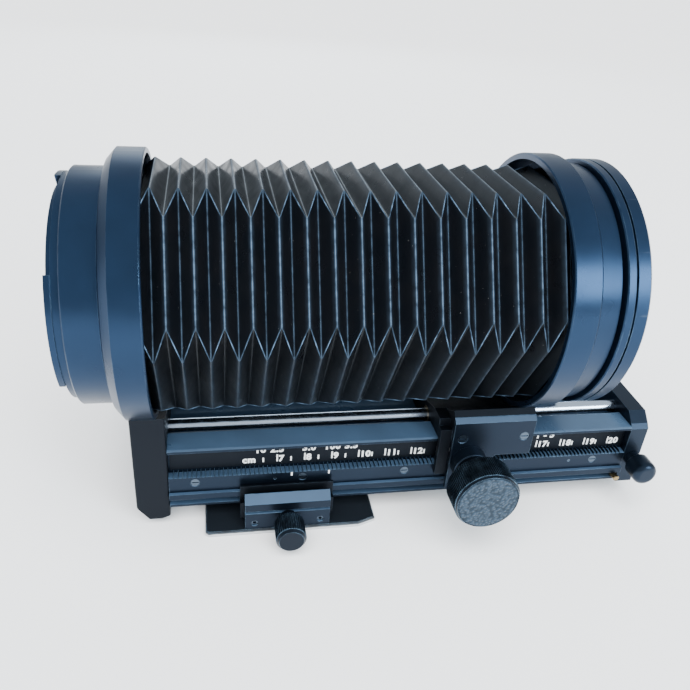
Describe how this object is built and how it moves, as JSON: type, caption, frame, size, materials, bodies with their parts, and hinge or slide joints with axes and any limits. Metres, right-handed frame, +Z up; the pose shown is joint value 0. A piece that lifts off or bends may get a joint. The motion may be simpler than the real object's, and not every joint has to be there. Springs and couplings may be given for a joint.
{
  "type": "macro bellows unit",
  "caption": "Pleated bellows between a fixed camera-side ring and a lens ring that a rack and pinion drives along a scaled focusing rail with a tripod clamp.",
  "frame": {"origin": "centre of the tripod socket's mouth, on the underside of the foot plate", "axes": "+X along the rail from the camera end to the lens end, +Z up through the rail to the optical axis, +Y away from the side of the big focusing knob"},
  "size_m": [0.2134, 0.0982, 0.1295],
  "materials": {
    "black_anodised": "satin black anodised",
    "black_screws": "blackened",
    "black_plastic": "matt",
    "chrome": "ground and polished",
    "bright_metal": "fine turned",
    "brass": "plain",
    "bellows": "semi-gloss coated cloth",
    "leatherette": "pebble grain",
    "scale": "black with white figures"
  },
  "bodies": {
    "rail": {"rail_profile": "black_anodised", "guide_rod_front": "chrome", "guide_rod_rear": "chrome", "rack": "black_anodised", "rack_screws": "black_screws", "rack_pins": "black_screws", "scale_strip": "scale", "stop_pin": "brass", "rear_foot": "black_anodised", "rear_foot_screws": "black_screws", "rear_ring": "black_anodised", "camera_bayonet": "bright_metal", "bayonet_screws": "bright_metal", "rear_bellows_frame": "black_plastic", "bellows": "bellows", "end_plate": "black_anodised", "end_plate_screws": "black_screws"},
    "front_standard": {"carriage_saddle": "black_anodised", "rod_bushings": "brass", "front_cover": "black_anodised", "far_cover": "black_anodised", "cover_screws": "black_screws", "shaft_bearing": "black_anodised", "front_barrel": "black_anodised", "lens_ring": "black_anodised", "lens_mount": "bright_metal", "lens_mount_screws": "bright_metal", "front_bellows_frame": "black_plastic", "barrel_screws": "black_screws", "brake_shoe": "brass"},
    "focus_drive": {"pinion": "brass", "focus_shaft": "chrome", "focus_knob": "black_anodised", "knob_insert": "leatherette", "set_screw": "black_screws"},
    "focus_lock": {"lock_screw": "chrome", "lock_knob": "black_anodised"},
    "tripod_carriage": {"tripod_block": "black_anodised", "block_screws": "black_screws", "clamp_gib": "black_anodised", "fixed_gib": "black_anodised", "foot_plate": "black_anodised", "foot_plate_screws": "black_screws", "tripod_bush": "brass"},
    "tripod_clamp": {"clamp_screw": "chrome", "clamp_knob": "black_anodised"},
    "accessory_knob": {"end_knob": "black_anodised"}
  },
  "joints": [
    {"name": "focus_slide", "type": "slide", "parent": "rail", "child": "front_standard", "axis": [1, 0, 0], "range_m": [-0.096, 0.036], "deforming": ["bellows"]},
    {"name": "focus_knob_turn", "type": "hinge", "parent": "front_standard", "child": "focus_drive", "pos_m": [0.0663, -0.0463, 0.0247], "axis": [0, 1, 0], "range_deg": [-1610, 595]},
    {"name": "focus_lock_turn", "type": "hinge", "parent": "front_standard", "child": "focus_lock", "pos_m": [0.0747, 0.035, 0.0247], "axis": [0, 1, 0], "range_deg": [-90, 45]},
    {"name": "tripod_slide", "type": "slide", "parent": "rail", "child": "tripod_carriage", "axis": [1, 0, 0], "range_m": [-0.024, 0.112]},
    {"name": "tripod_clamp_turn", "type": "hinge", "parent": "tripod_carriage", "child": "tripod_clamp", "pos_m": [0, -0.04, 0.0071], "axis": [0, 1, 0], "range_deg": [-180, 45]},
    {"name": "accessory_knob_turn", "type": "hinge", "parent": "rail", "child": "accessory_knob", "pos_m": [0.1377, -0.032, 0.0178], "axis": [0, 1, 0], "range_deg": [-180, 45]}
  ],
  "couplings": [
    {"joint": "focus_knob_turn", "follows": "focus_slide", "rad_per_m": 285.71}
  ]
}
